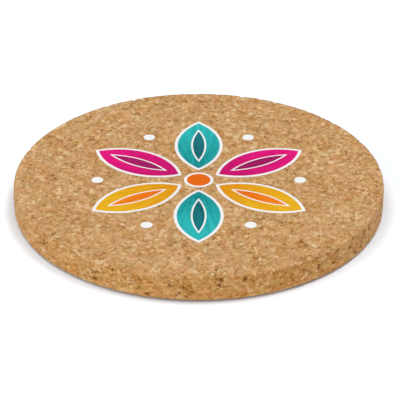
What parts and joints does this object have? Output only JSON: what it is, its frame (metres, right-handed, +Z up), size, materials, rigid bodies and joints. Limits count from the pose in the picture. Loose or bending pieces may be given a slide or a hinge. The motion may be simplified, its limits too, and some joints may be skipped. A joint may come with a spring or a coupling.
{
  "type": "cork coaster",
  "caption": "Round drinks coaster cut from pressed cork, flat on both faces with eased edges, with a petal rosette in coloured inks on its top face.",
  "frame": {"origin": "centre of the disc's underside, on the surface that the coaster lies on", "axes": "+Z up through the thickness, out of the printed face; +X to the right and +Y away from someone who sees the printed face from the front, with a teal petal on each side of the centre along Y"},
  "size_m": [0.095, 0.095, 0.0066],
  "materials": {
    "cork": "sanded agglomerated cork, matt, with granules, pits and dark flecks",
    "white_ink": "opaque white ink, satin, following the cork's grain",
    "teal_ink": "opaque teal ink, satin",
    "dark_teal_ink": "opaque dark teal ink, satin",
    "magenta_ink": "opaque magenta ink, satin",
    "dark_magenta_ink": "opaque dark magenta ink, satin",
    "amber_ink": "opaque amber ink, satin",
    "orange_ink": "opaque orange ink, satin"
  },
  "bodies": {
    "root": {"cork_disc": "cork", "white_base": "white_ink", "teal_ink": "teal_ink", "dark_teal_ink": "dark_teal_ink", "magenta_ink": "magenta_ink", "dark_magenta_ink": "dark_magenta_ink", "amber_ink": "amber_ink", "orange_ink": "orange_ink"}
  },
  "joints": []
}
